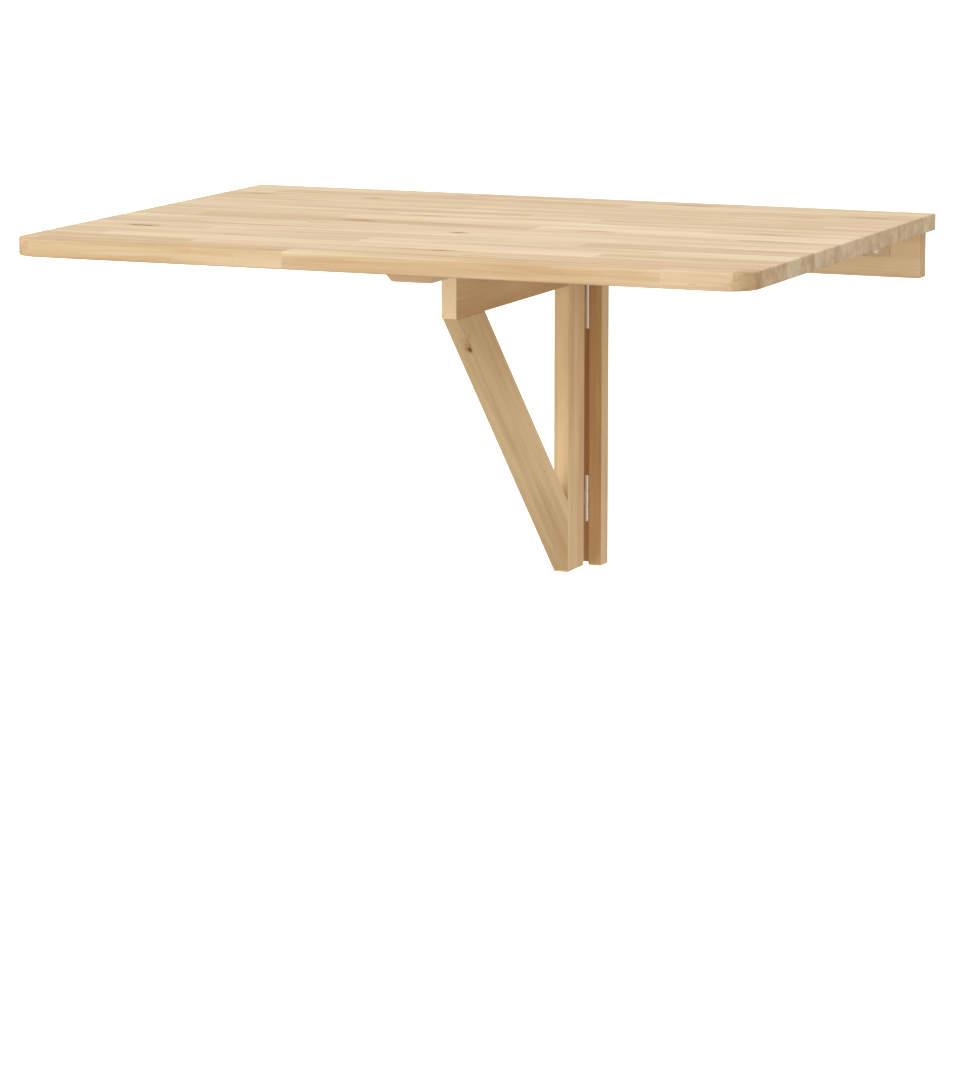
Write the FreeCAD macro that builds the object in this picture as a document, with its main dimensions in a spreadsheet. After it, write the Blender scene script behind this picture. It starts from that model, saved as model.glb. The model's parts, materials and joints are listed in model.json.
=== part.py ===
import FreeCAD, Part
import Sketcher
import os
from collections import namedtuple

# A drop leaf table that hangs on a wall. X runs along the wall, Y into the wall and Z up, in
# millimetres. The origin lies on the wall, halfway between the two outer wall screws of the rails.
# The leaf's middle is a little to its right, because the outer screw of the long rail is set far in.
DIMENSIONS = {
    # The leaf, a glued birch panel, and the block that keeps it off the wall when it hangs.
    "leaf_length": 790,
    "leaf_depth": 590,
    "leaf_thick": 18,
    "leaf_corner": 32,
    "leaf_ease": 1.5,
    "leaf_wall_gap": 1,
    "top_height": 57,
    "block_length": 49,
    "block_depth": 45,
    "block_thick": 20,
    "block_bevel": 6,
    "block_ahead": 62,
    # The wall timber: two rails under the leaf's back edge and the upright strip of the bracket.
    "wall_stock": 21,
    "rail_height": 49.5,
    "rail_gap": 0.5,
    "rail_inset": 11,
    "rail_left_length": 33,
    "strip_width": 15,
    "strip_tongue_width": 20,
    "strip_tongue_thick": 3,
    # The swinging bracket: a post, an arm and a brace, joined with dowels.
    "bracket_pin_x": 8.6,
    "bracket_thick": 17,
    "bracket_drop": 402,
    "post_depth": 47,
    "arm_height": 69.3,
    "arm_reach": 381,
    "arm_gap": 0.5,
    "brace_setback": 3,
    "brace_heel": 73,
    "brace_toe_lift": 1.5,
    "brace_toe_height": 77,
    "dowel_radius": 4,
    "dowel_half": 18,
    "dowel_margin": 18,
    "dowel_pitch": 28.8,
    # The butt hinges, with three knuckles on a pin.
    "barrel_radius": 2.2,
    "barrel_clear": 0.3,
    "bore_clear": 0.05,
    "pin_radius": 1.1,
    "pin_head_radius": 1.8,
    "pin_head_thick": 0.6,
    "knuckle_gap": 0.3,
    "notch_clear": 0.4,
    "plate_thick": 1.2,
    "plate_play": 0.05,
    "leaf_hinge_length": 30,
    "leaf_hinge_width": 26,
    "leaf_hinge_outer_row": 20,
    "leaf_hinge_inner_row": 10,
    "leaf_hinge_spread": 9,
    "leaf_hinge_inset": 48,
    "bracket_hinge_length": 50,
    "bracket_hinge_width": 16,
    "bracket_hinge_row": 9,
    "bracket_hinge_spread": 15,
    "upper_hinge_drop": 139,
    "lower_hinge_lift": 50,
    # Fasteners: countersunk wood screws, and the holes for the wall screws.
    "screw_head_radius": 2.9,
    "screw_head_depth": 1.2,
    "screw_neck_radius": 1.7,
    "screw_shank_radius": 1.5,
    "screw_length": 12,
    "block_screw_length": 30,
    "block_screw_spread": 12,
    "wall_hole_radius": 2.25,
    "wall_sink_radius": 4.25,
    "wall_sink_depth": 2,
    "rail_inner_hole": 20,
    "rail_outer_hole": 135,
    "strip_hole_drop": 69,
    # How far a cutting shape runs past the face that it cuts.
    "cut_past": 1,
}

document = FreeCAD.newDocument("wall_drop_leaf_table")
sheet = document.addObject("Spreadsheet::Sheet", "dims")
for row, (alias, size) in enumerate(DIMENSIONS.items(), start=1):
    sheet.set(f"A{row}", str(size))
    sheet.setAlias(f"A{row}", alias)
document.recompute()

# Heights and places that several pieces share, as expressions over the sheet.
LEAF_UNDER = "(dims.top_height - dims.leaf_thick)"
LEAF_FRONT = "(-dims.leaf_wall_gap - dims.leaf_depth)"
RAIL_TOP = f"({LEAF_UNDER} - dims.rail_gap)"
RAIL_BOTTOM = f"({RAIL_TOP} - dims.rail_height)"
LEAF_MIDDLE = "((dims.rail_outer_hole - dims.rail_left_length / 2) / 2)"
LEAF_LEFT = f"({LEAF_MIDDLE} - dims.leaf_length / 2)"
LEFT_END = f"({LEAF_LEFT} + dims.rail_inset)"
RIGHT_END = f"({LEAF_LEFT} + dims.leaf_length - dims.rail_inset)"
LEFT_HOLE = f"({LEFT_END} + dims.rail_left_length / 2)"
PIN_OFFSET = "(dims.barrel_radius + dims.barrel_clear)"
BUTT_OFFSET = "(dims.plate_thick + dims.plate_play)"
PIN_Y = f"(-dims.wall_stock - {PIN_OFFSET})"
LEAF_PIN_Z = f"({LEAF_UNDER} - {PIN_OFFSET})"
PIN_X = f"({LEAF_MIDDLE} + dims.bracket_pin_x)"
STRIP_LEFT = f"({PIN_X} + {BUTT_OFFSET})"
STRIP_RIGHT = f"({STRIP_LEFT} + dims.strip_width)"
POST_RIGHT = f"({PIN_X} - {PIN_OFFSET})"
POST_LEFT = f"({POST_RIGHT} - dims.bracket_thick)"
POST_REAR = f"({PIN_Y} - {BUTT_OFFSET})"
POST_FRONT = f"({POST_REAR} - dims.post_depth)"
BRACKET_TOP = f"({LEAF_UNDER} - dims.arm_gap)"
BRACKET_BOTTOM = "(dims.top_height - dims.bracket_drop)"
BRACKET_MIDDLE = f"({POST_RIGHT} - dims.bracket_thick / 2)"
ARM_BOTTOM = f"({BRACKET_TOP} - dims.arm_height)"
BRACE_TIP = "(dims.brace_setback - dims.arm_reach)"
BRACE_TOE = f"({BRACKET_BOTTOM} + dims.brace_toe_lift)"
BLOCK_UNDER = f"({LEAF_UNDER} - dims.block_thick)"
BLOCK_FRONT = "(-dims.arm_reach - dims.block_ahead - dims.block_depth)"

SCREW_HEAD = ("dims.screw_head_radius", "dims.screw_neck_radius", "dims.screw_head_depth")

# How close two places count as one.
NEAR = 0.01

RIGHT, LEFT = (1, 0, 0), (-1, 0, 0)
TO_WALL, TO_ROOM = (0, 1, 0), (0, -1, 0)
UP, DOWN = (0, 0, 1), (0, 0, -1)

# A hinge plate's own frame: its origin on the pin's axis at one end of the barrel, its first axis
# along the plate's reach, its second towards the timber and its third along the pin.
Frame = namedtuple("Frame", "origin axes")
Hinge = namedtuple("Hinge", "name fixed moving length width offset screws")

nodes = {}
corners_of = {}


def number(expression):
    """The present value of an expression over the sheet."""
    return float(sheet.evalExpression(expression))


def bind(thing, **expressions):
    """Tie properties of a thing to expressions over the sheet."""
    for name, expression in expressions.items():
        thing.setExpression(name, expression)


def put(thing, at, turn=FreeCAD.Rotation()):
    """Turn a thing and tie its position to three expressions."""
    thing.Placement = FreeCAD.Placement(FreeCAD.Vector(), turn)
    for axis, expression in zip("xyz", at):
        thing.setExpression(f"Placement.Base.{axis}", expression)


def turn_to(direction):
    """The rotation that takes +Z to a direction."""
    return FreeCAD.Rotation(FreeCAD.Vector(*UP), FreeCAD.Vector(*direction))


def in_table(frame, local):
    """A point of a hinge plate's frame, as expressions in the table's frame."""
    point = []
    for axis, start in enumerate(frame.origin):
        steps = [f"{way[axis]} * {amount}" for way, amount in zip(frame.axes, local) if way[axis]]
        point.append(" + ".join([start] + steps))
    return point


def made(label, thing):
    """Keep a finished piece under its name."""
    thing.Label = label
    nodes[label] = thing
    return thing


def new_body(label, corner):
    """A body whose own frame starts at a corner of the table's frame."""
    body = document.addObject("PartDesign::Body", label)
    put(body, corner)
    corners_of[label] = corner
    return made(label, body)


def in_body(body, at):
    """A point of the table's frame, as expressions in a body's own frame."""
    return [f"{where} - ({start})" for where, start in zip(at, corners_of[body.Label])]


def outline(body, role, corners):
    """A closed outline of straight lines on an origin plane, each corner tied to two expressions."""
    sketch = body.newObject("Sketcher::SketchObject", body.Name + "_outline")
    plane = next(feature for feature in body.Origin.OriginFeatures if feature.Role == role)
    sketch.AttachmentSupport = [(plane, "")]
    sketch.MapMode = "FlatFace"
    points = [FreeCAD.Vector(number(across), number(along), 0) for across, along in corners]
    for start, end in zip(points, points[1:] + points[:1]):
        sketch.addGeometry(Part.LineSegment(start, end))
    for line in range(len(points)):
        sketch.addConstraint(Sketcher.Constraint("Coincident", line, 2, (line + 1) % len(points), 1))
    for line, (corner, point) in enumerate(zip(corners, points)):
        sides = (("DistanceX", corner[0], point.x, -2), ("DistanceY", corner[1], point.y, -1))
        for kind, expression, value, axis in sides:
            if expression == "0":
                sketch.addConstraint(Sketcher.Constraint("PointOnObject", line, 1, axis))
                continue
            place = sketch.addConstraint(Sketcher.Constraint(kind, -1, 1, line, 1, value))
            sketch.renameConstraint(place, f"{kind}_{line}")
            sketch.setExpression(f"Constraints.{kind}_{line}", expression)
    return sketch


def pad(body, sketch, thick):
    """Give an outline its thickness."""
    feature = body.newObject("PartDesign::Pad", body.Name + "_pad")
    feature.Profile = sketch
    bind(feature, Length=thick)
    document.recompute()
    return feature


def board(label, corner, size):
    """A squared board: its low corner, and its sizes along X, Y and Z."""
    body = new_body(label, corner)
    length, depth, height = size
    sketch = outline(body, "XY_Plane", [("0", "0"), (length, "0"), (length, depth), ("0", depth)])
    pad(body, sketch, height)
    return body


def edges_where(feature, test):
    """The names of a feature's edges whose bounding box passes a test."""
    return [f"Edge{place}" for place, edge in enumerate(feature.Shape.Edges, start=1) if test(edge.BoundBox)]


def round_edges(body, name, base, edges, radius):
    feature = body.newObject("PartDesign::Fillet", f"{body.Name}_{name}")
    feature.Base = (base, edges)
    bind(feature, Radius=radius)
    document.recompute()
    return feature


def drill(body, at, direction, radius, depth):
    """Drill a round hole into a body from a point of the table's frame."""
    hole = body.newObject("PartDesign::SubtractiveCylinder", body.Name + "_hole")
    put(hole, in_body(body, at), turn_to(direction))
    bind(hole, Radius=radius, Height=depth)


def countersink(body, at, direction, wide, narrow, depth):
    """Widen the mouth of a hole for a screw head."""
    sink = body.newObject("PartDesign::SubtractiveCone", body.Name + "_sink")
    put(sink, in_body(body, at), turn_to(direction))
    bind(sink, Radius1=wide, Radius2=narrow, Height=depth)


def wall_hole(body, across, height):
    """A countersunk hole for a wall screw, from the front face of the wall timber to the wall."""
    mouth = [across, "-dims.wall_stock", height]
    drill(body, mouth, TO_WALL, "dims.wall_hole_radius", "dims.wall_stock + dims.cut_past")
    sizes = ("dims.wall_sink_radius", "dims.wall_hole_radius", "dims.wall_sink_depth")
    countersink(body, mouth, TO_WALL, *sizes)


def box(name, at, size):
    thing = document.addObject("Part::Box", name)
    put(thing, at)
    bind(thing, Length=size[0], Width=size[1], Height=size[2])
    return thing


def cylinder(name, at, radius, height, direction=UP):
    thing = document.addObject("Part::Cylinder", name)
    put(thing, at, turn_to(direction))
    bind(thing, Radius=radius, Height=height)
    return thing


def cone(name, at, wide, narrow, height, direction=UP):
    thing = document.addObject("Part::Cone", name)
    put(thing, at, turn_to(direction))
    bind(thing, Radius1=wide, Radius2=narrow, Height=height)
    return thing


def joined(name, pieces):
    thing = document.addObject("Part::MultiFuse", name)
    thing.Shapes = pieces
    return thing


def group(label, pieces):
    """Separate solids of one kind, kept as one node."""
    thing = document.addObject("Part::Compound", label)
    thing.Links = pieces
    return made(label, thing)


def screw(name, at, direction, length):
    """A countersunk screw: its head's face at a point, its shank along a direction."""
    start = ["0", "0", "0"]
    head = cone(name + "_head", start, *SCREW_HEAD)
    shank = cylinder(name + "_shank", start, "dims.screw_shank_radius", length)
    whole = joined(name, [head, shank])
    put(whole, at, turn_to(direction))
    return whole


def hinge_plate(label, hinge, frame, own_knuckles):
    """One plate of a butt hinge, with its knuckles, its pin bore and its countersunk holes."""
    notch = "(dims.barrel_radius + dims.notch_clear)"
    face = f"({hinge.offset} - dims.plate_thick)"
    knuckle = f"(({hinge.length} - 2 * dims.knuckle_gap) / 3)"
    flat = [notch, face, "0"]
    pieces = [box(label + "_flat", flat, [f"{hinge.width} - {notch}", "dims.plate_thick", hinge.length])]
    for place in own_knuckles:
        start = f"{place} * ({knuckle} + dims.knuckle_gap)"
        pieces.append(box(f"{label}_tab_{place}", ["0", face, start], [notch, "dims.plate_thick", knuckle]))
        pieces.append(cylinder(f"{label}_knuckle_{place}", ["0", "0", start], "dims.barrel_radius", knuckle))
    bore = "dims.pin_radius + dims.bore_clear"
    low = ["0", "0", "-dims.cut_past"]
    cuts = [cylinder(label + "_bore", low, bore, f"{hinge.length} + 2 * dims.cut_past")]
    for place, (reach, along) in enumerate(hinge.screws):
        cuts.append(cone(f"{label}_sink_{place}", [reach, face, along], *SCREW_HEAD, TO_WALL))
    plate = document.addObject("Part::Cut", label)
    plate.Base = joined(label + "_solid", pieces)
    plate.Tool = joined(label + "_cuts", cuts)
    ways = [FreeCAD.Vector(*way) for way in frame.axes]
    put(plate, frame.origin, FreeCAD.Rotation(*ways, "XYZ"))
    return made(label, plate)


def hinge_pin(label, hinge):
    """The pin of a hinge, with a peened head at each end of the barrel."""
    shank = cylinder(label + "_shank", ["0", "0", "0"], "dims.pin_radius", hinge.length)
    heads = []
    for end, start in (("low", "-dims.pin_head_thick"), ("high", hinge.length)):
        at = ["0", "0", start]
        heads.append(cylinder(f"{label}_{end}_head", at, "dims.pin_head_radius", "dims.pin_head_thick"))
    pin = joined(label, [shank] + heads)
    ways = [FreeCAD.Vector(*way) for way in hinge.fixed.axes]
    put(pin, hinge.fixed.origin, FreeCAD.Rotation(*ways, "XYZ"))
    return made(label, pin)


def hinge_screws(hinge, frame, side, timber):
    """The screws of one plate, and their holes in the timber behind it."""
    screws = []
    face = f"({hinge.offset} - dims.plate_thick)"
    for place, (reach, along) in enumerate(hinge.screws):
        at = in_table(frame, [reach, face, along])
        screws.append(screw(f"{hinge.name}_{side}_screw_{place}", at, frame.axes[1], "dims.screw_length"))
        mouth = in_table(frame, [reach, hinge.offset, along])
        depth = "dims.screw_length - dims.plate_thick"
        drill(timber, mouth, frame.axes[1], "dims.screw_shank_radius", depth)
    return screws


def leaf_hinge(name, middle):
    """A hinge between a rail's front face and the leaf's underside, centred at a place along X."""
    half = "dims.leaf_hinge_length / 2"
    fixed = Frame([f"({middle} - {half})", PIN_Y, LEAF_PIN_Z], (DOWN, TO_WALL, RIGHT))
    moving = Frame([f"({middle} + {half})", PIN_Y, LEAF_PIN_Z], (TO_ROOM, UP, LEFT))
    inner, outer = "dims.leaf_hinge_inner_row", "dims.leaf_hinge_outer_row"
    screws = [(outer, f"({half})")]
    screws += [(inner, f"({half} {sign} dims.leaf_hinge_spread)") for sign in "-+"]
    size = ("dims.leaf_hinge_length", "dims.leaf_hinge_width", PIN_OFFSET)
    return Hinge(name, fixed, moving, *size, screws)


def bracket_hinge(name, foot):
    """A hinge between the wall strip's left face and the post's rear face, its foot at a height."""
    head = f"({foot} + dims.bracket_hinge_length)"
    fixed = Frame([PIN_X, PIN_Y, head], (TO_WALL, RIGHT, DOWN))
    moving = Frame([PIN_X, PIN_Y, foot], (LEFT, TO_ROOM, UP))
    half = "dims.bracket_hinge_length / 2"
    screws = [("dims.bracket_hinge_row", f"({half} {sign} dims.bracket_hinge_spread)") for sign in "-+"]
    size = ("dims.bracket_hinge_length", "dims.bracket_hinge_width", BUTT_OFFSET)
    return Hinge(name, fixed, moving, *size, screws)


def make_leaf():
    """The table top, with round front corners and eased edges."""
    corner = [LEAF_LEFT, LEAF_FRONT, LEAF_UNDER]
    leaf = board("leaf_top", corner, ["dims.leaf_length", "dims.leaf_depth", "dims.leaf_thick"])
    front = edges_where(leaf.Tip, lambda b: b.ZLength > NEAR and b.YMax < NEAR)
    corners = round_edges(leaf, "corners", leaf.Tip, front, "dims.leaf_corner")
    rims = edges_where(corners, lambda b: b.ZLength < NEAR)
    round_edges(leaf, "rims", corners, rims, "dims.leaf_ease")
    return leaf


def make_block():
    """The spacer block under the leaf, bevelled at its lower left edge."""
    corner = [f"{LEAF_MIDDLE} - dims.block_length / 2", BLOCK_FRONT, BLOCK_UNDER]
    block = board("spacer_block", corner, ["dims.block_length", "dims.block_depth", "dims.block_thick"])
    base = block.Tip
    bevel = block.newObject("PartDesign::Chamfer", "spacer_block_bevel")
    bevel.Base = (base, edges_where(base, lambda b: b.XMax < NEAR and b.ZMax < NEAR))
    bind(bevel, Size="dims.block_bevel")
    document.recompute()
    return block


def fix_block(block, leaf):
    """Two screws up through the block into the leaf."""
    middle = f"({BLOCK_FRONT} + dims.block_depth / 2)"
    screws = []
    for name, sign in (("left", "-"), ("right", "+")):
        at = [f"{LEAF_MIDDLE} {sign} dims.block_screw_spread", middle, BLOCK_UNDER]
        screws.append(screw(f"block_screw_{name}", at, UP, "dims.block_screw_length"))
        drill(block, at, UP, "dims.screw_shank_radius", "dims.block_thick + dims.cut_past")
        countersink(block, at, UP, *SCREW_HEAD)
        mouth = [at[0], middle, LEAF_UNDER]
        drill(leaf, mouth, UP, "dims.screw_shank_radius", "dims.block_screw_length - dims.block_thick")
    group("spacer_block_screws", screws)


def make_strip():
    """The upright strip, rebated on its left to a thin tongue at the wall."""
    corner = [f"{STRIP_LEFT} - dims.strip_tongue_width", "-dims.wall_stock", BRACKET_BOTTOM]
    strip = new_body("wall_strip", corner)
    shoulder, rear = "dims.strip_tongue_width", "dims.wall_stock"
    width, step = f"{shoulder} + dims.strip_width", f"{rear} - dims.strip_tongue_thick"
    section = [(shoulder, "0"), (width, "0"), (width, rear), ("0", rear), ("0", step), (shoulder, step)]
    pad(strip, outline(strip, "XY_Plane", section), f"{RAIL_TOP} - {BRACKET_BOTTOM}")
    return strip


def make_wall_timber():
    """The two rails and the strip, drilled for the wall screws. The gap between the rails, left of
    the strip, takes the folded bracket, whose post then lies on the strip's tongue."""
    front = "-dims.wall_stock"
    right_size = [f"{RIGHT_END} - {STRIP_RIGHT}", "dims.wall_stock", "dims.rail_height"]
    right = board("rail_right", [STRIP_RIGHT, front, RAIL_BOTTOM], right_size)
    left_size = ["dims.rail_left_length", "dims.wall_stock", "dims.rail_height"]
    left = board("rail_left", [LEFT_END, front, RAIL_BOTTOM], left_size)
    strip = make_strip()
    wall_hole(right, f"{STRIP_RIGHT} + dims.rail_inner_hole", "0")
    wall_hole(right, f"{RIGHT_END} - dims.rail_outer_hole", "0")
    wall_hole(left, LEFT_HOLE, "0")
    wall_hole(strip, f"{STRIP_LEFT} + dims.strip_width / 2", "dims.top_height - dims.strip_hole_drop")
    return right, left, strip


def make_bracket():
    """The post, the arm and the brace of the swinging bracket."""
    post_size = ["dims.bracket_thick", "dims.post_depth", f"{BRACKET_TOP} - {BRACKET_BOTTOM}"]
    post = board("bracket_post", [POST_LEFT, POST_FRONT, BRACKET_BOTTOM], post_size)
    arm_size = ["dims.bracket_thick", f"dims.arm_reach + {POST_FRONT}", "dims.arm_height"]
    arm = board("bracket_arm", [POST_LEFT, "-dims.arm_reach", ARM_BOTTOM], arm_size)
    brace = new_body("bracket_brace", [POST_LEFT, BRACE_TIP, BRACE_TOE])
    run = f"({POST_FRONT} - {BRACE_TIP})"
    rise = f"({ARM_BOTTOM} - {BRACE_TOE})"
    corners = [(run, "0"), (run, "dims.brace_toe_height"), ("dims.brace_heel", rise), ("0", rise)]
    pad(brace, outline(brace, "YZ_Plane", corners), "dims.bracket_thick")
    return post, arm, brace


def dowel_pair(label, places, direction, timbers):
    """Two dowels across a glued joint, and their holes in the timbers on both sides of it."""
    dowels = []
    for place, middle in enumerate(places):
        back = [f"{where} - {step} * dims.dowel_half" for where, step in zip(middle, direction)]
        length = "2 * dims.dowel_half"
        dowels.append(cylinder(f"{label}_{place}", back, "dims.dowel_radius", length, direction))
        for timber in timbers:
            drill(timber, back, direction, "dims.dowel_radius", length)
    group(label, dowels)


def dowel_bracket(post, arm, brace):
    """The three dowelled joints of the bracket."""
    low, high = f"{ARM_BOTTOM} + dims.dowel_margin", f"{BRACKET_TOP} - dims.dowel_margin"
    arm_places = [[BRACKET_MIDDLE, POST_FRONT, height] for height in (low, high)]
    dowel_pair("arm_dowels", arm_places, TO_WALL, (post, arm))
    toe_top = f"({BRACE_TOE} + dims.brace_toe_height)"
    toe_heights = [f"{toe_top} - dims.dowel_margin", f"{toe_top} - dims.dowel_margin - dims.dowel_pitch"]
    toe_places = [[BRACKET_MIDDLE, POST_FRONT, height] for height in toe_heights]
    dowel_pair("brace_toe_dowels", toe_places, TO_WALL, (post, brace))
    heel = f"({BRACE_TIP} + dims.brace_heel)"
    heel_reaches = [f"{heel} - dims.dowel_margin", f"{heel} - dims.dowel_margin - dims.dowel_pitch"]
    heel_places = [[BRACKET_MIDDLE, reach, ARM_BOTTOM] for reach in heel_reaches]
    dowel_pair("brace_heel_dowels", heel_places, UP, (arm, brace))


def hang(hinges, fixed_timbers, moving_timber, fixed_label, moving_label):
    """Make a set of hinges between fixed timbers and one moving timber, with their screws."""
    fixed_screws, moving_screws = [], []
    for hinge, fixed_timber in zip(hinges, fixed_timbers):
        hinge_plate(hinge.name + "_fixed_plate", hinge, hinge.fixed, (0, 2))
        hinge_plate(hinge.name + "_moving_plate", hinge, hinge.moving, (1,))
        hinge_pin(hinge.name + "_pin", hinge)
        fixed_screws += hinge_screws(hinge, hinge.fixed, "fixed", fixed_timber)
        moving_screws += hinge_screws(hinge, hinge.moving, "moving", moving_timber)
    group(fixed_label, fixed_screws)
    group(moving_label, moving_screws)


leaf = make_leaf()
block = make_block()
rail_right, rail_left, strip = make_wall_timber()
post, arm, brace = make_bracket()
fix_block(block, leaf)
dowel_bracket(post, arm, brace)
leaf_hinges = [
    leaf_hinge("leaf_hinge_right", f"({RIGHT_END} - dims.leaf_hinge_inset)"),
    leaf_hinge("leaf_hinge_middle", f"({STRIP_RIGHT} + dims.leaf_hinge_inset)"),
    leaf_hinge("leaf_hinge_left", LEFT_HOLE),
]
leaf_timbers = (rail_right, rail_right, rail_left)
hang(leaf_hinges, leaf_timbers, leaf, "leaf_hinge_rail_screws", "leaf_hinge_leaf_screws")
bracket_hinges = [
    bracket_hinge("bracket_hinge_upper", "(dims.top_height - dims.upper_hinge_drop)"),
    bracket_hinge("bracket_hinge_lower", f"({BRACKET_BOTTOM} + dims.lower_hinge_lift)"),
]
hang(bracket_hinges, (strip, strip), post, "bracket_hinge_strip_screws", "bracket_hinge_post_screws")

document.recompute()
for thing in document.Objects:
    if set(thing.State) & {"Invalid", "Error"}:
        raise RuntimeError(f"{thing.Name} failed: {thing.State}")
for label, thing in nodes.items():
    if thing.Shape.isNull() or not thing.Shape.isValid():
        raise RuntimeError(f"{label} has no valid shape")
os.makedirs("parts", exist_ok=True)
for label, thing in nodes.items():
    thing.Shape.exportStep(f"parts/{label}.step")
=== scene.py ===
import json
import math
import random
from collections import namedtuple

import bmesh
import bpy
from bpy.props import FloatProperty, FloatVectorProperty, IntProperty, PointerProperty
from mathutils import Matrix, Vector

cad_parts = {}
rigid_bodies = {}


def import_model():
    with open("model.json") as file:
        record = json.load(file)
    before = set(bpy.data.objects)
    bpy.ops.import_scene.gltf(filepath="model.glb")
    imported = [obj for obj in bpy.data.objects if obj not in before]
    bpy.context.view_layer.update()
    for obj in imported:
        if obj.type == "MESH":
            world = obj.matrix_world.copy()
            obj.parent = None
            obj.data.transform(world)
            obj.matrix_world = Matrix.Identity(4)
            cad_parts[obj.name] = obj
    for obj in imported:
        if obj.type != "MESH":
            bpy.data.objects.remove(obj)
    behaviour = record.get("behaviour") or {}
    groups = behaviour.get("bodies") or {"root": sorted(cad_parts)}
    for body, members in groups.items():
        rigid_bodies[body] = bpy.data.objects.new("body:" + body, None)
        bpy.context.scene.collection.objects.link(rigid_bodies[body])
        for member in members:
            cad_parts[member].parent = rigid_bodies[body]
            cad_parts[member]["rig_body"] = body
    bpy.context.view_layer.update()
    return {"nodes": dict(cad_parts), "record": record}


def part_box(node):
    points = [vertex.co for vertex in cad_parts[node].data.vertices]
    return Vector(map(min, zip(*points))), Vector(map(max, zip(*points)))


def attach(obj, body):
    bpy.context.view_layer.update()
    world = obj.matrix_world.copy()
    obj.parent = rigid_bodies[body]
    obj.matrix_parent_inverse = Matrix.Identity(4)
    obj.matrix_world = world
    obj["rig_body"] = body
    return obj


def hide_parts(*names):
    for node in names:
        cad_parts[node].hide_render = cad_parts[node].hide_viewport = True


bl_info = {
    "name": "Wall drop leaf table",
    "version": (1, 0, 0),
    "blender": (4, 5, 0),
    "location": "View3D > Sidebar > Drop Leaf",
    "description": "Dresses a wall mounted drop leaf table in lacquered birch and zinc plated steel",
    "category": "Object",
}

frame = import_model()

MM = 0.001
ALONG_WALL, TO_WALL, UP = Vector((1, 0, 0)), Vector((0, 1, 0)), Vector((0, 0, 1))

# How near to a plane a point counts as on it, for this script's own faces and for a CAD node's corners;
# how near to each other two corners of a CAD node are one; and how near to a cut a corner is on it.
NEAR, ON_FACE = 0.01 * MM, 0.1 * MM
ONE_CORNER, ON_CUT = 0.001 * MM, 0.0001 * MM

# The staves of the leaf, from its front edge to the wall: the width of each row in millimetres, and
# where its staves meet end to end, in millimetres from the leaf's middle.
STAVE_ROWS = (
    (36, (-373, -91, 305, 377)),
    (38, (-215, 85)),
    (35, (-330, 207)),
    (41, (-60, 260)),
    (41, (-250, 160)),
    (41, (12,)),
    (39, (-180, 290)),
    (42, (-320, 60)),
    (39, (-170, 235)),
    (37, (-130, 95)),
    (41, (-290, 10, 330)),
    (39, (-80, 215)),
    (39, (-225, 265)),
    (39, (-345, 70)),
    (43, (-120, 185)),
)

# How dark the staves of the front rows are, from -1 for pale to 1 for dark and more for wood darker than
# the darkest grain, and how golden, from 0 to 1. The other rows' tones are drawn within a spread, and
# they aren't golden.
FRONT_LOOKS = {
    0: ((0.8, 0.8), (1.25, 0.5), (0.75, 0.25), (0.7, 0.0), (1.6, 0.4)),
    1: ((0.2, 0.4), (-0.3, 0.3), (0.4, 0.4)),
    2: ((0.1, 0.1), (-0.8, 0.0), (0.5, 0.1)),
}
TONE_SPREAD = 0.8
STAVE_SEED = 11

# A stave or a timber: its place in the log, how dark its sides and its ends are, and how rosy and how
# golden its wood is.
Stave = namedtuple("Stave", "place tone end_tone warmth gold")

# The looks of the wall strip's front, right edge and tongue: a stave's values after its place. The
# darker, golden front is painted shade cast by the post and painted light reflected off it. The paler
# right edge is the lit side of the same wood. The tongue is painted as the deep shade of the slit behind
# the post.
STRIP_SHADED_LOOKS = {
    "front": (1.15, 0.0, 0.8, 1.0),
    "edge": (0.3, 0.0, 0.5, 0.1),
    "tongue": (2.0, 1.0, 0.8, 1.0),
}
STRIP_SEED = 33

# How far off the pith a stave is cut, in millimetres, and how far along the log, in metres.
PITH_NEAR, PITH_FAR = 20, 90
LOG_REACH = 2

# How strongly the stave's tone and each kind of figure darken the wood, from a start value.
Figure = namedtuple("Figure", "start tone cloud streak line rings fibre")
PANEL_FIGURE = Figure(-0.10, 0.17, 0.20, 0.40, 0.15, 0.08, 0.12)
TIMBER_FIGURE = Figure(-0.03, 0.22, 0.30, 0.22, 0.07, 0.08, 0.12)

# A pattern of noise: how often it changes per metre along each axis, how many finer layers it has, and
# between which of its values it comes in.
Pattern = namedtuple("Pattern", "often detail low high", defaults=(0.0, 1.0))
SWAY = Pattern((3, 14, 14), 2.0)
CLOUD = Pattern((4, 22, 22), 2.0, 0.3, 0.7)
STREAK = Pattern((2.2, 75, 75), 3.0, 0.32, 0.68)
LINE = Pattern((5, 380, 380), 2.0, 0.35, 0.7)
FIBRE = Pattern((35, 1300, 1300), 2.0)
FLECK = Pattern((60, 900, 900), 1.0, 0.70, 0.80)
PORES = Pattern((500, 1400, 1400), 2.0, 0.35, 0.7)
MARK_WAVER = Pattern((60, 160, 160), 3.0)
BEECH_FLECK = Pattern((900, 200, 900), 3.0)
MOTTLE = Pattern((420, 420, 420), 3.0)
BRUSHED = Pattern((2600, 2600, 180), 2.0)
PATTERN_ROUGHNESS = 0.55
PATTERN_MIDDLE = (0.5, 0.5, 0.5)

# How far the sway bends the grain, and the year rings of the log.
SWAY_REACH = (0, 12 * MM, 12 * MM)
RINGS = {"Scale": 95.0, "Distortion": 1.2, "Detail": 2.0}

# How dark flecks and the pores of end grain are, as a share of a full mark.
FLECK_STRENGTH, PORE_STRENGTH = 0.25, 0.2

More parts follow.
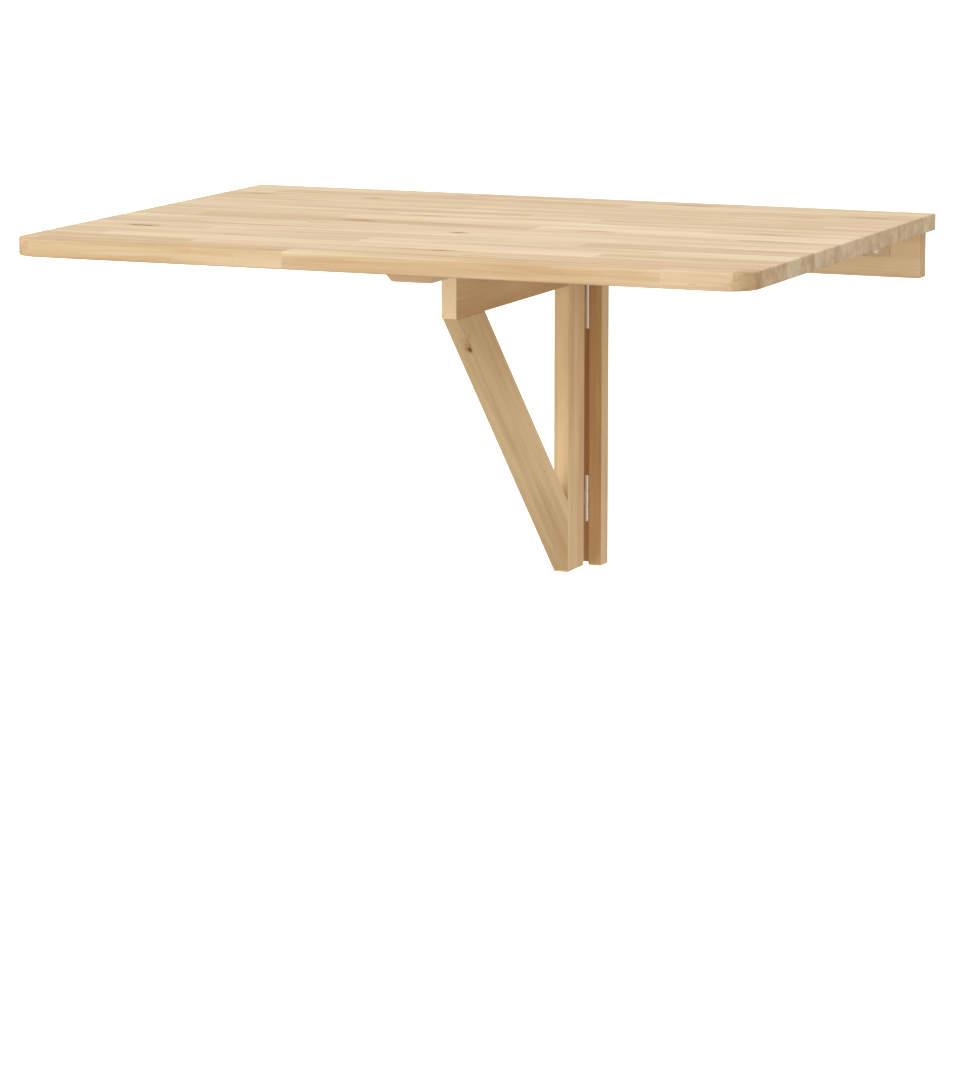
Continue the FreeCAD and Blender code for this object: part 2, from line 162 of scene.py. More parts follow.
# How rough the smoothest birch is, and what the patterns add to the roughness and to the relief.
BIRCH_ROUGH, FIBRE_ROUGH, END_ROUGH = 0.48, 0.16, 0.12
FIBRE_RELIEF, RINGS_RELIEF, FLECK_RELIEF = 0.6, 0.25, -0.5
MOTTLE_ROUGH, BRUSHED_ROUGH = 0.16, 0.12

# The strength and the depth of a relief.
BIRCH_BUMP, ZINC_BUMP = (0.35, 0.15 * MM), (0.12, 0.05 * MM)

# How glossy the lacquer is, how metallic the zinc and how rough a dowel, and what share of the colour is
# left in the darkest spots of a dowel and of the zinc.
LACQUER_GLOSS, ZINC_METALLIC, DOWEL_ROUGHNESS = 0.12, 0.6, 0.7
DOWEL_DARK, ZINC_DARK = 0.7, 0.72

# Brown marks in the leaf's upper face and front edge: their place from the leaf's middle and from its
# front edge, and their half length and half width, in millimetres, and how dark they are.
LEAF_MARKS = (
    (-324, 160, 24, 6, 1.0),
    (-331, 172, 34, 7, 0.3),
    (4, 221, 13, 8, 0.8),
    (-192, 213, 190, 5, 0.45),
    (-138, 290, 24, 5, 0.8),
    (127, 285, 26, 7, 0.55),
    (305, 326, 34, 6, 0.6),
    (50, 69, 20, 6, 0.8),
    (22, 69, 30, 4, 0.4),
    (-195, 121, 34, 7, 0.3),
    (-93, 357, 36, 6, 0.45),
    (40, 368, 70, 10, 0.25),
    (-160, 391, 22, 6, 0.35),
    (280, 497, 26, 5, 0.5),
    (345, 515, 36, 7, 0.45),
    (-350, 498, 26, 8, 0.5),
    (-216, 502, 13, 9, 0.45),
    (132, 558, 32, 8, 0.5),
    (-132, 561, 16, 5, 0.6),
    (190, 0, 130, 26, 0.24),
    (268, 0, 40, 20, 0.2),
)

# The knot in the brace's right face: how far behind and below the brace's upper front corner its core
# and the brown wood round it lie, and their half size along and across the grain, in millimetres, and
# how dark.
BRACE_KNOT = (
    (33.9, 36.8, 8, 4.2, 1.0),
    (31, 31.5, 8, 4, 0.55),
    (23, 27.5, 8, 6, 0.4),
    (31, 21, 7, 3, 0.3),
    (40, 47, 18, 4, 0.3),
)

# How far the edges of the leaf's marks and of the brace's knot waver along each axis.
MARK_WAVER_REACH, KNOT_WAVER_REACH = (20 * MM, 8 * MM, 0), (0, 2 * MM, 2 * MM)

# At which share of its half size a mark is still full, and at which it has faded out.
MARK_FULL, MARK_GONE = 0.25, 1.15

# The lamps round the table: how far to the left of the wall's normal each one stands, for someone who
# faces the wall, and how high above the level, in degrees.
LAMPS = {"key": (32, 3), "fill": (-75, 4), "top": (25, 70), "back": (160, 8)}

# From how dark a stave its wood goes on past the darkest grain, and where it reaches a mark's colour:
# for the darkest staves and end grain, and for the wall strip's tongue, where it is painted shade.
DEEP_OR_SHADED_FROM, DEEP_OR_SHADED_TO = 1.0, 3.0

# How dark a mark is where its halo ends and its core begins.
MARK_CORE = 0.5

# The facets of an eased edge, the angle from which an edge is eased, and that from which it stays sharp.
EASING_STEPS, EASED_FROM, SHARP_FROM = 3, math.radians(40), math.radians(35)

# The facets round a screw's head and its shank, and the radius of its tip.
HEAD_SIDES, SHANK_SIDES, TIP_RADIUS = 28, 20, 0.1 * MM

# The sockets of a Mix node that mixes colours.
MIX_FACTOR, MIX_FIRST, MIX_SECOND, MIX_RESULT = 0, 6, 7, 2


class BirchSettings(bpy.types.PropertyGroup):
    """The colours of the birch, and how its edges are eased."""

    panel_pale: FloatVectorProperty(
        name="Panel pale", description="The palest staves of the leaf", subtype="COLOR",
        default=(0.88, 0.73, 0.53), min=0, max=1)
    panel_dark: FloatVectorProperty(
        name="Panel dark", description="The darkest staves of the leaf", subtype="COLOR",
        default=(0.55, 0.35, 0.17), min=0, max=1)
    timber_pale: FloatVectorProperty(
        name="Timber pale", description="The palest grain of the bracket and the wall timber",
        subtype="COLOR", default=(0.86, 0.66, 0.41), min=0, max=1)
    timber_dark: FloatVectorProperty(
        name="Timber dark", description="The darkest grain of the bracket and the wall timber",
        subtype="COLOR", default=(0.48, 0.27, 0.11), min=0, max=1)
    rosy: FloatVectorProperty(
        name="Rosy", description="The tint of the rosiest wood", subtype="COLOR",
        default=(1.0, 0.95, 0.91), min=0, max=1)
    straw: FloatVectorProperty(
        name="Straw", description="The tint of the yellowest wood", subtype="COLOR",
        default=(0.99, 0.99, 0.93), min=0, max=1)
    golden: FloatVectorProperty(
        name="Golden", description="The tint of the most golden wood", subtype="COLOR",
        default=(1.0, 0.94, 0.82), min=0, max=1)
    panel_end: FloatVectorProperty(
        name="Panel ends", description="How the leaf's end grain is tinted",
        default=(0.86, 0.86, 0.86), min=0)
    # The end grain tint is partly painted light: it is so pale that it lifts the arm's tip, which lies
    # in the leaf's shade.
    timber_end: FloatVectorProperty(
        name="Timber ends", description="How the other timber's end grain is tinted",
        default=(1.2, 1.3, 1.5), min=0)
    halo: FloatVectorProperty(
        name="Halo", description="The orange wood round a mark or a knot", subtype="COLOR",
        default=(0.62, 0.36, 0.15), min=0, max=1)
    mark: FloatVectorProperty(
        name="Mark", description="Brown streaks in the leaf", subtype="COLOR",
        default=(0.36, 0.17, 0.05), min=0, max=1)
    knot: FloatVectorProperty(
        name="Knot", description="The knot in the brace", subtype="COLOR",
        default=(0.20, 0.08, 0.02), min=0, max=1)
    dowel: FloatVectorProperty(
        name="Dowel", description="The bare beech of the dowels", subtype="COLOR",
        default=(0.60, 0.41, 0.26), min=0, max=1)
    leaf_ease: FloatProperty(
        name="Leaf easing", description="How far the leaf's rims are rounded", unit="LENGTH",
        default=1.5 * MM, min=0, precision=4)
    timber_ease: FloatProperty(
        name="Timber easing", description="How far the edges of the other timber are rounded",
        unit="LENGTH", default=0.8 * MM, min=0, precision=4)
    leaf_corner: FloatProperty(
        name="Leaf corner", description="The radius of the leaf's front corners", unit="LENGTH",
        default=32 * MM, min=0, precision=4)
    corner_steps: IntProperty(
        name="Corner steps", description="Facets round one front corner of the leaf", default=16, min=2)


class SteelSettings(bpy.types.PropertyGroup):
    """The zinc plated hardware."""

    bright: FloatVectorProperty(
        name="Bright zinc", description="The zinc plate of the bracket's hinges", subtype="COLOR",
        default=(0.86, 0.72, 0.61), min=0, max=1)
    # The leaf hinges' zinc: a darker, yellower copy of the zinc, painted shade for the hinges under the
    # leaf, and rougher.
    dull: FloatVectorProperty(
        name="Dull zinc", description="The yellow zinc plate of the leaf's hinges", subtype="COLOR",
        default=(0.70, 0.51, 0.31), min=0, max=1)
    bright_roughness: FloatProperty(
        name="Bright roughness", description="How rough the bright zinc is", default=0.36, min=0, max=1)
    leaf_zinc_roughness: FloatProperty(
        name="Dull roughness", description="How rough the dull zinc is", default=0.46, min=0, max=1)
    head_radius: FloatProperty(
        name="Head radius", description="The radius of a screw's countersunk head", unit="LENGTH",
        default=2.9 * MM, min=0, precision=4)
    neck_radius: FloatProperty(
        name="Neck radius", description="The radius below the head's cone", unit="LENGTH",
        default=1.7 * MM, min=0, precision=4)
    head_depth: FloatProperty(
        name="Head depth", description="The depth of the head's cone", unit="LENGTH",
        default=1.2 * MM, min=0, precision=4)
    shank_radius: FloatProperty(
        name="Shank radius", description="The radius of a screw's shank", unit="LENGTH",
        default=1.5 * MM, min=0, precision=4)
    hole_radius: FloatProperty(
        name="Hole radius", description="The radius of a wall screw's hole", unit="LENGTH",
        default=2.25 * MM, min=0, precision=4)
    sink_radius: FloatProperty(
        name="Sink radius", description="The radius of a wall screw's countersink", unit="LENGTH",
        default=4.25 * MM, min=0, precision=4)
    sink_depth: FloatProperty(
        name="Sink depth", description="The depth of a wall screw's countersink", unit="LENGTH",
        default=2 * MM, min=0, precision=4)
    hole_sides: IntProperty(
        name="Hole sides", description="Facets round one wall screw's hole", default=32, min=3)
    recess_reach: FloatProperty(
        name="Recess reach", description="How far the cross recess reaches from the middle",
        unit="LENGTH", default=1.6 * MM, min=0, precision=4)
    recess_width: FloatProperty(
        name="Recess width", description="The width of the cross recess's arms", unit="LENGTH",
        default=0.6 * MM, min=0, precision=4)
    recess_depth: FloatProperty(
        name="Recess depth", description="The depth of the cross recess", unit="LENGTH",
        default=0.8 * MM, min=0, precision=4)


class StudioSettings(bpy.types.PropertyGroup):
    """The floor, the light and the camera."""

    leaf_height: FloatProperty(
        name="Leaf height", description="How high the leaf's upper face is above the floor",
        unit="LENGTH", default=0.74, min=0)
    floor_size: FloatProperty(
        name="Floor size", description="The length of the floor's sides", unit="LENGTH",
        default=60, min=1)
    floor_colour: FloatVectorProperty(
        name="Floor", description="The pale floor, brightly lit", default=(1.6, 1.6, 1.6), min=0)
    sky_high: FloatProperty(
        name="Sky above", description="The white light from straight above", default=0.6, min=0)
    sky_low: FloatProperty(
        name="Sky below", description="The white light from straight below", default=0.35, min=0)
    lamp_softness: FloatProperty(
        name="Lamp softness", description="How wide each lamp is, seen from the table", subtype="ANGLE",
        default=math.radians(45), min=0)
    key: FloatProperty(
        name="Key lamp", description="The lamp at the front left, as a share of full white",
        default=0.50, min=0)
    fill: FloatProperty(
        name="Fill lamp", description="The lamp at the right, as a share of full white",
        default=0.325, min=0)
    top: FloatProperty(
        name="Top lamp", description="The lamp overhead, as a share of full white",
        default=0.32, min=0)
    back: FloatProperty(
        name="Back lamp", description="The lamp at the rear, as a share of full white",
        default=0.45, min=0)
    camera_place: FloatVectorProperty(
        name="Camera", description="Where the camera stands", subtype="TRANSLATION", unit="LENGTH",
        default=(1.8882, -4.6599, 0.5721))
    camera_azimuth: FloatProperty(
        name="Azimuth", description="How far the camera is turned to the left of the wall's normal",
        subtype="ANGLE", default=math.radians(22.8237))
    camera_pitch: FloatProperty(
        name="Pitch", description="How far the camera looks down", subtype="ANGLE",
        default=math.radians(10.1221))
    camera_lens: FloatProperty(
        name="Lens", description="The camera's focal length in millimetres", default=153.55, min=1)


class DropLeafSettings(bpy.types.PropertyGroup):
    """All the settings of the table."""

    birch: PointerProperty(name="Birch", description="The wood and its edges", type=BirchSettings)
    steel: PointerProperty(name="Steel", description="The hinges and the screws", type=SteelSettings)
    studio: PointerProperty(
        name="Studio", description="The floor, the light and the camera", type=StudioSettings)


def settings():
    return bpy.context.scene.drop_leaf


def link_object(name, data):
    """A new object at the origin, in the scene."""
    made = bpy.data.objects.new(name, data)
    bpy.context.scene.collection.objects.link(made)
    return made


def plain_mesh(source, name):
    """An object whose mesh is the evaluated shape of a source object, which is then removed."""
    graph = bpy.context.evaluated_depsgraph_get()
    mesh = bpy.data.meshes.new_from_object(source.evaluated_get(graph))
    bpy.data.objects.remove(source)
    mesh.name = name
    return link_object(name, mesh)


def finish_piece(piece, material, node):
    """Give a piece its material and let it stand for a CAD node on that node's body."""
    piece.data.materials.clear()
    piece.data.materials.append(material)
    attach(piece, frame["nodes"][node]["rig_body"])
    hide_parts(node)


def new_material(name):
    """An empty material with a shader, and its node tree."""
    material = bpy.data.materials.new(name)
    material.use_nodes = True
    return material, material.node_tree, material.node_tree.nodes["Principled BSDF"]


def shader_node(tree, kind, inputs, **choices):
    """A new node, with its choices made and its inputs set or linked."""
    made = tree.nodes.new(kind)
    for name, choice in choices.items():
        setattr(made, name, choice)
    for key, value in inputs.items():
        if isinstance(value, bpy.types.NodeSocket):
            tree.links.new(value, made.inputs[key])
        else:
            made.inputs[key].default_value = value
    return made


def calculate(tree, operation, *values):
    inputs = dict(enumerate(values))
    return shader_node(tree, "ShaderNodeMath", inputs, operation=operation).outputs[0]


def vector_step(tree, operation, *values):
    made = shader_node(tree, "ShaderNodeVectorMath", dict(enumerate(values)), operation=operation)
    return made.outputs["Value" if operation == "LENGTH" else "Vector"]


def noise(tree, place, pattern):
    """A pattern's noise at a place, as a node."""
    stretched = vector_step(tree, "MULTIPLY", place, pattern.often)
    return shader_node(tree, "ShaderNodeTexNoise", {
        "Vector": stretched, "Scale": 1.0, "Detail": pattern.detail, "Roughness": PATTERN_ROUGHNESS})


def noise_value(tree, place, pattern):
    return noise(tree, place, pattern).outputs["Fac"]


def wavered(tree, place, pattern, reach):
    """A place moved by a pattern, by up to half a reach to either side."""
    colour = noise(tree, place, pattern).outputs["Color"]
    offset = vector_step(tree, "SUBTRACT", colour, PATTERN_MIDDLE)
    return vector_step(tree, "MULTIPLY_ADD", offset, reach, place)


def weighted(tree, start, *terms):
    """A start value plus the sum of terms, each a value times a weight."""
    total = start
    for value, weight in terms:
        total = calculate(tree, "MULTIPLY_ADD", value, weight, total)
    return total


def ramp(tree, value, low, high, to_low=0.0, to_high=1.0):
    """A smooth step of a value from low to high."""
    inputs = {"Value": value, "From Min": low, "From Max": high, "To Min": to_low, "To Max": to_high}
    made = shader_node(tree, "ShaderNodeMapRange", inputs, interpolation_type="SMOOTHSTEP")
    return made.outputs["Result"]


def pattern_step(tree, place, pattern):
    """How strongly a pattern shows at a place, from 0 to 1."""
    return ramp(tree, noise_value(tree, place, pattern), pattern.low, pattern.high)


def mix_colour(tree, factor, first, second, blend="MIX"):
    inputs = {MIX_FACTOR: factor, MIX_FIRST: first, MIX_SECOND: second}
    made = shader_node(
        tree, "ShaderNodeMix", inputs, data_type="RGBA", blend_type=blend, clamp_factor=True)
    return made.outputs[MIX_RESULT]


def attribute(tree, name, output):
    return shader_node(tree, "ShaderNodeAttribute", {}, attribute_name=name).outputs[output]


def object_place(tree):
    return shader_node(tree, "ShaderNodeTexCoord", {}).outputs["Object"]


def opaque(colour):
    return (*colour, 1.0)


def darker(colour, share):
    """A colour of which a share of the brightness is left."""
    return opaque([part * share for part in colour])


def emboss(tree, shader, height, bump):
    """Give a surface the relief of a height."""
    strength, depth = bump
    inputs = {"Height": height, "Strength": strength, "Distance": depth}
    made = shader_node(tree, "ShaderNodeBump", inputs)
    tree.links.new(made.outputs["Normal"], shader.inputs["Normal"])


def mark_strength(tree, marks, reach, slope):
    """How brown the wood is at a place: the strongest of a list of marks with soft edges that waver by a
    reach, which lie along a slope about the X axis."""
    ragged = wavered(tree, object_place(tree), MARK_WAVER, reach)
    total = 0.0
    for centre, half_sizes, strength in marks:
        turned = shader_node(
            tree, "ShaderNodeVectorRotate", {"Vector": ragged, "Center": centre, "Angle": -slope},
            rotation_type="X_AXIS").outputs["Vector"]
        from_centre = vector_step(tree, "SUBTRACT", turned, centre)
        share = vector_step(tree, "LENGTH", vector_step(tree, "DIVIDE", from_centre, half_sizes))
        faded = ramp(tree, share, MARK_FULL, MARK_GONE, strength, 0.0)
        total = calculate(tree, "MAXIMUM", faded, total)
    return total


def birch(name, pale, dark, ends, figure, mark, marks, reach, slope=0.0):
    """Lacquered birch, from the grain that each mesh carries: its place in the log, the look of its
    stave and where it shows end grain."""
    look = settings().birch
    material, tree, shader = new_material(name)
    place = attribute(tree, "grain_place", "Vector")
    stave = shader_node(tree, "ShaderNodeSeparateXYZ", {0: attribute(tree, "stave_look", "Vector")})
    tone, warmth, gold = stave.outputs
    end = attribute(tree, "end_grain", "Fac")

    bent = wavered(tree, place, SWAY, SWAY_REACH)
    cloud, streak, line = (pattern_step(tree, bent, pattern) for pattern in (CLOUD, STREAK, LINE))
    fibre = noise_value(tree, bent, FIBRE)
    rings = shader_node(
        tree, "ShaderNodeTexWave", {"Vector": bent, **RINGS}, wave_type="RINGS", rings_direction="X",
        wave_profile="SAW").outputs["Fac"]
    depth = weighted(
        tree, figure.start, (tone, figure.tone), (cloud, figure.cloud), (streak, figure.streak),
        (line, figure.line), (rings, figure.rings), (fibre, figure.fibre))
    colour = mix_colour(tree, depth, opaque(pale), opaque(dark))
    tint = mix_colour(tree, warmth, opaque(look.straw), opaque(look.rosy))
    colour = mix_colour(tree, 1.0, colour, tint, "MULTIPLY")
    colour = mix_colour(tree, gold, colour, opaque(look.golden), "MULTIPLY")

    fleck = pattern_step(tree, bent, FLECK)
    stain = calculate(
        tree, "MAXIMUM", calculate(tree, "MULTIPLY", fleck, FLECK_STRENGTH),
        mark_strength(tree, marks, reach, slope))
    colour = mix_colour(tree, stain, colour, opaque(look.halo), "MULTIPLY")
    # Mark cores, and staves darker than the darkest grain, go on towards the mark's colour; on the wall
    # strip's tongue this is painted shade.
    core = calculate(
        tree, "MAXIMUM", ramp(tree, stain, MARK_CORE, 1.0), ramp(tree, tone, DEEP_OR_SHADED_FROM, DEEP_OR_SHADED_TO))
    colour = mix_colour(tree, core, colour, opaque(mark))

    pores = calculate(tree, "MULTIPLY", pattern_step(tree, place, PORES), PORE_STRENGTH)
    end_colour = mix_colour(tree, 1.0, colour, opaque(ends), "MULTIPLY")
    end_colour = mix_colour(tree, pores, end_colour, opaque(mark))
    colour = mix_colour(tree, end, colour, end_colour)
    tree.links.new(colour, shader.inputs["Base Color"])

    rough = weighted(tree, BIRCH_ROUGH, (fibre, FIBRE_ROUGH), (end, END_ROUGH))
    tree.links.new(rough, shader.inputs["Roughness"])
    height = weighted(tree, 0.0, (fibre, FIBRE_RELIEF), (rings, RINGS_RELIEF), (fleck, FLECK_RELIEF))
    emboss(tree, shader, height, BIRCH_BUMP)
    shader.inputs["Specular IOR Level"].default_value = LACQUER_GLOSS
    return material


def leaf_marks():
    """The marks of the leaf in metres: centre, half sizes and strength."""
    low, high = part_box("leaf_top")
    middle = (low.x + high.x) / 2
    marks = []
    for across, ahead, half_length, half_width, strength in LEAF_MARKS:
        centre = (middle + across * MM, low.y + ahead * MM, high.z)
        marks.append((centre, (half_length * MM, half_width * MM, half_width * MM), strength))
    return marks


def brace_marks():
    """The brace's knot in metres: centre, half sizes and strength of each of its marks."""
    low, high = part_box("bracket_brace")
    marks = []
    for behind, below, half_length, half_width, strength in BRACE_KNOT:
        centre = (high.x, low.y + behind * MM, high.z - below * MM)
        marks.append((centre, ((high.x - low.x) / 2, half_width * MM, half_length * MM), strength))
    return marks


def brace_slope():
    """How far the brace leans to the front from the upright."""
    along = brace_grain()
    return math.atan2(-along.y, along.z)


def beech():
    """Bare beech, with short fine flecks along the dowel."""
    material, tree, shader = new_material("bare_beech")
    colour = settings().birch.dowel
    fleck = noise_value(tree, object_place(tree), BEECH_FLECK)
    mixed = mix_colour(tree, fleck, opaque(colour), darker(colour, DOWEL_DARK))
    tree.links.new(mixed, shader.inputs["Base Color"])
    shader.inputs["Roughness"].default_value = DOWEL_ROUGHNESS
    return material


def zinc(name, colour, roughness):
    """Zinc plate, faintly mottled and brushed."""
    material, tree, shader = new_material(name)
    place = object_place(tree)
    mottle, brushed = noise_value(tree, place, MOTTLE), noise_value(tree, place, BRUSHED)
    mixed = mix_colour(tree, mottle, opaque(colour), darker(colour, ZINC_DARK))
    tree.links.new(mixed, shader.inputs["Base Color"])
    rough = weighted(tree, roughness, (mottle, MOTTLE_ROUGH), (brushed, BRUSHED_ROUGH))
    tree.links.new(rough, shader.inputs["Roughness"])
    emboss(tree, shader, brushed, ZINC_BUMP)
    shader.inputs["Metallic"].default_value = ZINC_METALLIC
    return material


def material_called(name, make, *values):
    """A material by its name, made on its first use."""
    return bpy.data.materials.get(name) or make(name, *values)


def bright_zinc():
    look = settings().steel
    return material_called("bright_zinc", zinc, look.bright, look.bright_roughness)


# The darker zinc of the leaf's hinges: painted shade under the leaf.
def dull_zinc():
    look = settings().steel
    return material_called("dull_zinc", zinc, look.dull, look.leaf_zinc_roughness)


def timber_birch():
    look = settings().birch
    return material_called(
        "timber_birch", birch, look.timber_pale, look.timber_dark, look.timber_end, TIMBER_FIGURE,
        look.knot, brace_marks(), KNOT_WAVER_REACH, brace_slope())


def turn_grain(direction):
    """The rotation that takes the grain's direction to the X axis."""
    return direction.rotation_difference(ALONG_WALL).to_matrix()


def log_place(draw):
    """A random place in a log: some way along it, and off its pith."""
    radius, angle = draw.uniform(PITH_NEAR, PITH_FAR) * MM, draw.uniform(0, 2 * math.pi)
    along = draw.uniform(-LOG_REACH, LOG_REACH)
    return Vector((along, radius * math.cos(angle), radius * math.sin(angle)))


def carry_grain(mesh, direction, stave_of):
    """Write on a mesh's corners the place in the log, the stave's look and the share of end grain.
    stave_of gives a face's stave from its middle."""
    turn = turn_grain(direction)
    kinds = {"grain_place": "FLOAT_VECTOR", "stave_look": "FLOAT_VECTOR", "end_grain": "FLOAT"}
    for name, kind in kinds.items():
        mesh.attributes.new(name, kind, "CORNER")
    places, looks, ends = (mesh.attributes[name].data for name in kinds)
    for face in mesh.polygons:
        stave = stave_of(face.center)
        for corner in face.loop_indices:
            vertex = mesh.vertices[mesh.loops[corner].vertex_index]
            end = mesh.corner_normals[corner].vector.dot(direction) ** 2
            tone = stave.tone + (stave.end_tone - stave.tone) * end
            places[corner].vector = turn @ vertex.co + stave.place
            looks[corner].vector = (tone, stave.warmth, stave.gold)
            ends[corner].value = end


def prism(outline, thickness):
    """A mesh with an outline of points as one face, and the same face a thickness away."""
    shape = bmesh.new()
    face = shape.faces.new([shape.verts.new(point) for point in outline])
    grown = bmesh.ops.extrude_face_region(shape, geom=[face])["geom"]
    moved = [item for item in grown if isinstance(item, bmesh.types.BMVert)]
    bmesh.ops.translate(shape, verts=moved, vec=thickness)
    bmesh.ops.recalc_face_normals(shape, faces=shape.faces)
    return shape


def shape_object(shape, name):
    """An object of a shape, with smooth faces."""
    mesh = bpy.data.meshes.new(name)
    shape.to_mesh(mesh)
    shape.free()
    mesh.polygons.foreach_set("use_smooth", [True] * len(mesh.polygons))
    return link_object(name, mesh)


def eased(shape, name, radius, holes=None):
    """An object of a shape with its square edges rounded, and with holes where another shape lies."""
    rough = shape_object(shape, name + "_rough")
    easing = rough.modifiers.new("Easing", "BEVEL")
    easing.width = radius
    easing.segments = EASING_STEPS
    easing.limit_method = "ANGLE"
    easing.angle_limit = EASED_FROM
    if holes:
        drill = shape_object(holes, name + "_drill")
        rough.modifiers.new("Holes", "BOOLEAN").object = drill
    solid = plain_mesh(rough, name + "_solid")
    if holes:
        bpy.data.objects.remove(drill)
    solid.data.set_sharp_from_angle(angle=SHARP_FROM)
    solid.modifiers.new("Normals", "WEIGHTED_NORMAL").keep_sharp = True
    return plain_mesh(solid, name)


def leaf_outline():
    """The leaf's outline at its lower face, with round front corners."""
    look = settings().birch
    low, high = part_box("leaf_top")
    radius, steps = look.leaf_corner, look.corner_steps
    points = [Vector((low.x, high.y, low.z)), Vector((high.x, high.y, low.z))]
    for middle_x, start in ((high.x - radius, 0.0), (low.x + radius, -math.pi / 2)):
        for step in range(steps + 1):
            angle = start - step / steps * math.pi / 2
            reach = Vector((math.cos(angle), math.sin(angle), 0)) * radius
            points.append(Vector((middle_x, low.y + radius, low.z)) + reach)
    return points


def stave_rows():
    """The rows of staves: each row's front and rear, and the places where its staves meet."""
    low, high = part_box("leaf_top")
    middle, front = (low.x + high.x) / 2, low.y
    rows = []
    for width, joints in STAVE_ROWS:
        rows.append((front, front + width * MM, [middle + joint * MM for joint in joints]))
        front += width * MM
    return rows


def cut(shape, faces, place, normal):
    """Cut some faces of a shape along a plane."""
    edges = {edge for face in faces for edge in face.edges}
    corners = {corner for face in faces for corner in face.verts}
    geometry = [*faces, *edges, *corners]
    bmesh.ops.bisect_plane(shape, geom=geometry, plane_co=place, plane_no=normal, dist=ON_CUT)


def cut_staves(shape):
    """Cut the leaf's faces along the lines where its staves are glued."""
    for front, _, _ in stave_rows()[1:]:
        cut(shape, shape.faces[:], Vector((0, front, 0)), TO_WALL)
    for front, rear, joints in stave_rows():
        for joint in joints:
            middles = [(face, face.calc_center_median().y) for face in shape.faces]
            faces = [face for face, middle in middles if front - NEAR < middle < rear]
            cut(shape, faces, Vector((joint, 0, 0)), ALONG_WALL)


def draw_staves():
    """The look of every stave, by its row and its place in the row."""
    draw = random.Random(STAVE_SEED)
    looks = {}
    for row, (_, joints) in enumerate(STAVE_ROWS):
        for place in range(len(joints) + 1):
            tone, warmth, gold = draw.uniform(-TONE_SPREAD, TONE_SPREAD), draw.uniform(0, 1), 0.0
            if row in FRONT_LOOKS:
                tone, gold = FRONT_LOOKS[row][place]
            looks[row, place] = Stave(log_place(draw), tone, tone, warmth, gold)
    return looks


def make_leaf():
    look = settings().birch
    low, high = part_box("leaf_top")
    shape = prism(leaf_outline(), UP * (high.z - low.z))
    cut_staves(shape)
    leaf = eased(shape, "leaf_top_birch", look.leaf_ease)
    rows, looks = stave_rows(), draw_staves()

    def stave_of(point):
        row = sum(point.y > front for front, _, _ in rows[1:])
        place = sum(point.x > joint for joint in rows[row][2])
        return looks[row, place]

    carry_grain(leaf.data, ALONG_WALL, stave_of)
    material = birch(
        "leaf_birch", look.panel_pale, look.panel_dark, look.panel_end, PANEL_FIGURE, look.mark,
        leaf_marks(), MARK_WAVER_REACH)
    finish_piece(leaf, material, "leaf_top")


def make_timber(node, shape, grain, seed, tone=0.0, end_tone=0.0, gold=0.0, holes=None):
    """A timber of the bracket or the wall frame, with its own place in the log."""
    draw = random.Random(seed)
    stave = Stave(log_place(draw), tone, end_tone, draw.uniform(0, 1), gold)
    piece = eased(shape, node + "_birch", settings().birch.timber_ease, holes)
    carry_grain(piece.data, grain, lambda point: stave)
    finish_piece(piece, timber_birch(), node)


def board(node):
    """A squared board that fills a CAD node's box."""
    low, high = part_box(node)
    outline = [(low.x, low.y), (high.x, low.y), (high.x, high.y), (low.x, high.y)]
    return prism([Vector((x, y, low.z)) for x, y in outline], UP * (high.z - low.z))


def node_corners(node):
    return [vertex.co for vertex in frame["nodes"][node].data.vertices]


def make_block():
    """The spacer block, with the bevel of its lower left edge."""
    low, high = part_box("spacer_block")
    foot = min(corner.x for corner in node_corners("spacer_block") if corner.z < low.z + ON_FACE)
    bevel = foot - low.x
    outline = [
        (low.x, low.z + bevel), (foot, low.z), (high.x, low.z), (high.x, high.z), (low.x, high.z)]
    shape = prism([Vector((x, low.y, z)) for x, z in outline], TO_WALL * (high.y - low.y))
    make_timber("spacer_block", shape, ALONG_WALL, seed=5, tone=0.4)


def brace_outline():
    """The brace's four corners, its toe on the post and its heel under the arm, and its thickness."""
    low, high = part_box("bracket_brace")
    corners = node_corners("bracket_brace")
    toe_top = max(corner.z for corner in corners if corner.y > high.y - ON_FACE)
    heel_rear = max(corner.y for corner in corners if corner.z > high.z - ON_FACE)
    outline = [(high.y, low.z), (high.y, toe_top), (heel_rear, high.z), (low.y, high.z)]
    return [Vector((low.x, y, z)) for y, z in outline], ALONG_WALL * (high.x - low.x)


def brace_grain():
    """The direction of the brace's grain, along its front edge from its toe to its heel."""
    (toe, _, _, heel), _ = brace_outline()
    return (heel - toe).normalized()


def make_bracket():
    make_timber("bracket_post", board("bracket_post"), UP, seed=21, tone=-0.1, gold=0.2)
    # The arm's tip gets a far paler end tone than its sides: painted light on the tip, which lies in the
    # leaf's shade.
    make_timber(
        "bracket_arm", board("bracket_arm"), TO_WALL, seed=22, tone=0.8, end_tone=-1.6, gold=0.8)
    brace = prism(*brace_outline())
    make_timber("bracket_brace", brace, brace_grain(), seed=23, tone=0.1, gold=0.4)


def wall_screws(node):
    """Where the wall screws pass through a timber, from the record's mounts, each place once."""
    low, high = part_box(node)
    places = []
    for mount in frame["record"]["mounts"]:
        if mount["kind"] == "flat_face":
            continue
        reach = mount["dims"].get("spacing_x_mm", 0) / 2 * MM
        for side in (-reach, reach):
            place = Vector(mount["pos_m"]) + ALONG_WALL * side
            inside = low.x < place.x < high.x and low.z < place.z < high.z
            if inside and all((place - other).length > NEAR for other in places):
                places.append(place)
    return places


def ring(shape, place, depth, radius, sides):
    """The corners of a circle round a wall screw's axis, at a depth into the wall."""
    corners = []
    for step in range(sides):
        turn = step / sides * 2 * math.pi
        point = (place.x + radius * math.cos(turn), depth, place.z + radius * math.sin(turn))
        corners.append(shape.verts.new(point))
    return corners


